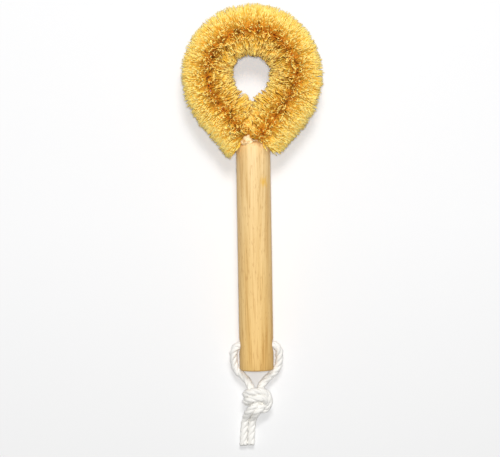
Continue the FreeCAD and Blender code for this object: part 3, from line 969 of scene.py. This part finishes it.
def cross_directions(points):
    """Two directions square to a line, which turn as little as possible along it."""
    tangent = np.gradient(points, axis=0)
    tangent /= np.linalg.norm(tangent, axis=1, keepdims=True)
    across = np.zeros_like(points)
    first = np.cross(tangent[0], [0.0, 0.0, 1.0])
    across[0] = first / np.linalg.norm(first)
    for index in range(1, len(points)):
        carried = across[index - 1] - tangent[index] * across[index - 1].dot(tangent[index])
        across[index] = carried / np.linalg.norm(carried)
    return across, np.cross(tangent, across)


def patch_place(cell, grid, share, side):
    """A place in one cell of the cord's flat map."""
    inside = 1 - 2 * PATCH_MARGIN
    column = (cell % grid + PATCH_MARGIN + inside * share) / grid
    row = (cell // grid + PATCH_MARGIN + inside * side) / grid
    return column, row


def strand_mesh(first, strand, centre, travelled):
    """Points and faces of one strand, and each corner's place in the lay and on the flat map."""
    rings = len(centre)
    patches = math.ceil((rings - 1) / PATCH_RINGS)
    grid = math.ceil(math.sqrt(patches * STRANDS))
    right, over = cross_directions(centre)
    points, faces, lay, flat_map = [], [], [], []
    for ring in range(rings):
        for side in range(STRAND_SIDES):
            angle = 2 * math.pi * side / STRAND_SIDES
            spread = right[ring] * math.cos(angle) + over[ring] * math.sin(angle)
            points.append(centre[ring] + spread * STRAND_RADIUS)
    for ring in range(rings - 1):
        cell = strand * patches + ring // PATCH_RINGS
        near = first + ring * STRAND_SIDES
        far = near + STRAND_SIDES
        back = travelled[ring] / YARN_PITCH
        front = travelled[ring + 1] / YARN_PITCH
        start = ring % PATCH_RINGS / PATCH_RINGS
        end = (ring % PATCH_RINGS + 1) / PATCH_RINGS
        for side in range(STRAND_SIDES):
            nxt = (side + 1) % STRAND_SIDES
            faces.append((near + side, near + nxt, far + nxt, far + side))
            low = side / STRAND_SIDES
            high = (side + 1) / STRAND_SIDES
            lay += [(low, back), (high, back), (high, front), (low, front)]
            for u, v in ((start, low), (start, high), (end, high), (end, low)):
                flat_map.append(patch_place(cell, grid, u, v))
    for ring in (0, rings - 1):
        faces.append(tuple(first + ring * STRAND_SIDES + side for side in range(STRAND_SIDES)))
        lay += [(0.5, travelled[ring] / YARN_PITCH)] * STRAND_SIDES
        flat_map += [CUT_END_PLACE] * STRAND_SIDES
    return points, faces, lay, flat_map


def make_cord(name, leg, knot, tail, nodes):
    """One half of the cord as three strands laid round its route, cut off at the tail."""
    line = route_line(name, leg, knot, tail)
    across, beside = cross_directions(line)
    steps = np.linalg.norm(np.diff(line, axis=0), axis=1)
    travelled = np.concatenate([[0.0], np.cumsum(steps)])
    length = travelled[-1]
    opened = np.clip((travelled - length + OPEN_LENGTH) / OPEN_LENGTH, 0, 1) ** 2
    reach = LAY_RADIUS * (1 + OPEN_FLARE * opened)
    points, faces, lay, flat_map = [], [], [], []
    for strand in range(STRANDS):
        turn = 2 * math.pi * (travelled / CORD_LAY + strand / STRANDS)
        offset = across * np.cos(turn)[:, None] + beside * np.sin(turn)[:, None]
        centre = line + offset * reach[:, None]
        made = strand_mesh(len(points), strand, centre, travelled)
        for whole, part in zip((points, faces, lay, flat_map), made):
            whole += part
    obj = mesh_object(name, points, faces)
    obj.data.uv_layers.new(name="lay").data.foreach_set("uv", np.array(lay).ravel())
    obj.data.uv_layers.new(name="OFBake").data.foreach_set("uv", np.array(flat_map).ravel())
    place_piece(obj, "cord", "cotton_cord", nodes)


LEFT_NODES = ["cord_in_hole", "cord_left_leg", "cord_left_tail", "cord_knot"]
RIGHT_NODES = ["cord_right_leg", "cord_right_tail"]
make_cord("cord_left_half", LEFT_LEG, LEFT_KNOT, LEFT_TAIL, LEFT_NODES)
make_cord("cord_right_half", RIGHT_LEG, RIGHT_KNOT, RIGHT_TAIL, RIGHT_NODES)

# Wires

for name in ("core_wire_a", "core_wire_b"):
    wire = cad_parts[name]
    wire.data.materials.clear()
    wire.data.materials.append(MATERIALS["core_wire"])

# Studio

PHOTO_WIDTH = 500
MM_PER_PIXEL = 0.588
SENSOR_WIDTH = 36.0
CAMERA_HEIGHT = 1500.0
SCALE_HEIGHT = 16.0
CLIP_END = 10.0
AIM = (-2.6, -24.3)
ROLL = -0.93
FLOOR_SPAN = 3000.0
WORLD_LIGHT = 0.10
DIFFUSE_BOUNCES = 12
ALL_BOUNCES = 16


def make_camera():
    """A long lens that looks straight down."""
    data = bpy.data.cameras.new("camera")
    data.sensor_width = SENSOR_WIDTH
    data.lens = SENSOR_WIDTH * CAMERA_HEIGHT / (PHOTO_WIDTH * MM_PER_PIXEL)
    data.clip_end = CLIP_END
    camera = bpy.data.objects.new("camera", data)
    camera.location = (AIM[0] * MM, AIM[1] * MM, (CAMERA_HEIGHT + SCALE_HEIGHT) * MM)
    camera.rotation_euler = (0, 0, math.radians(ROLL))
    bpy.context.scene.collection.objects.link(camera)
    bpy.context.scene.camera = camera


def make_floor():
    """A plain pale floor, with painted shade that darkens it a little towards the cord's end."""
    corners = [(-1, -1, 0), (1, -1, 0), (1, 1, 0), (-1, 1, 0)]
    floor = mesh_object("floor", np.array(corners) * FLOOR_SPAN, [(0, 1, 2, 3)])
    material, tree, shader = new_material("floor")
    shader.inputs["Roughness"].default_value = 0.9
    shader.inputs["Specular IOR Level"].default_value = 0.1
    from_cord = place_along(tree, low=-0.17, high=-0.02)
    floor_painted_shade = ramp(tree, from_cord, [(0.0, grey(0.784)), (1.0, (0.822, 0.822, 0.826))])
    tree.links.new(floor_painted_shade, shader.inputs["Base Color"])
    floor.data.materials.append(material)


def area_light(name, place, size, watts):
    """A square lamp that shines on the brush's middle."""
    data = bpy.data.lights.new(name, "AREA")
    data.shape = "SQUARE"
    data.size = size
    data.energy = watts
    lamp = bpy.data.objects.new(name, data)
    lamp.location = place
    towards = Vector((0, 0, 0)) - Vector(place)
    lamp.rotation_euler = towards.to_track_quat("-Z", "Y").to_euler()
    bpy.context.scene.collection.objects.link(lamp)


make_camera()
make_floor()
area_light("key", place=(0.08, 0.75, 1.3), size=0.4, watts=9.5)
area_light("front", place=(0.0, 0.0, 2.0), size=0.2, watts=29.0)
world = bpy.data.worlds.new("studio")
world.use_nodes = True
sky = world.node_tree.nodes["Background"]
sky.inputs["Color"].default_value = (1.0, 1.0, 1.0, 1.0)
sky.inputs["Strength"].default_value = WORLD_LIGHT
bpy.context.scene.world = world
bpy.context.scene.view_settings.view_transform = "Standard"
# Light goes many times from fibre to fibre
bpy.context.scene.cycles.diffuse_bounces = DIFFUSE_BOUNCES
bpy.context.scene.cycles.max_bounces = ALL_BOUNCES
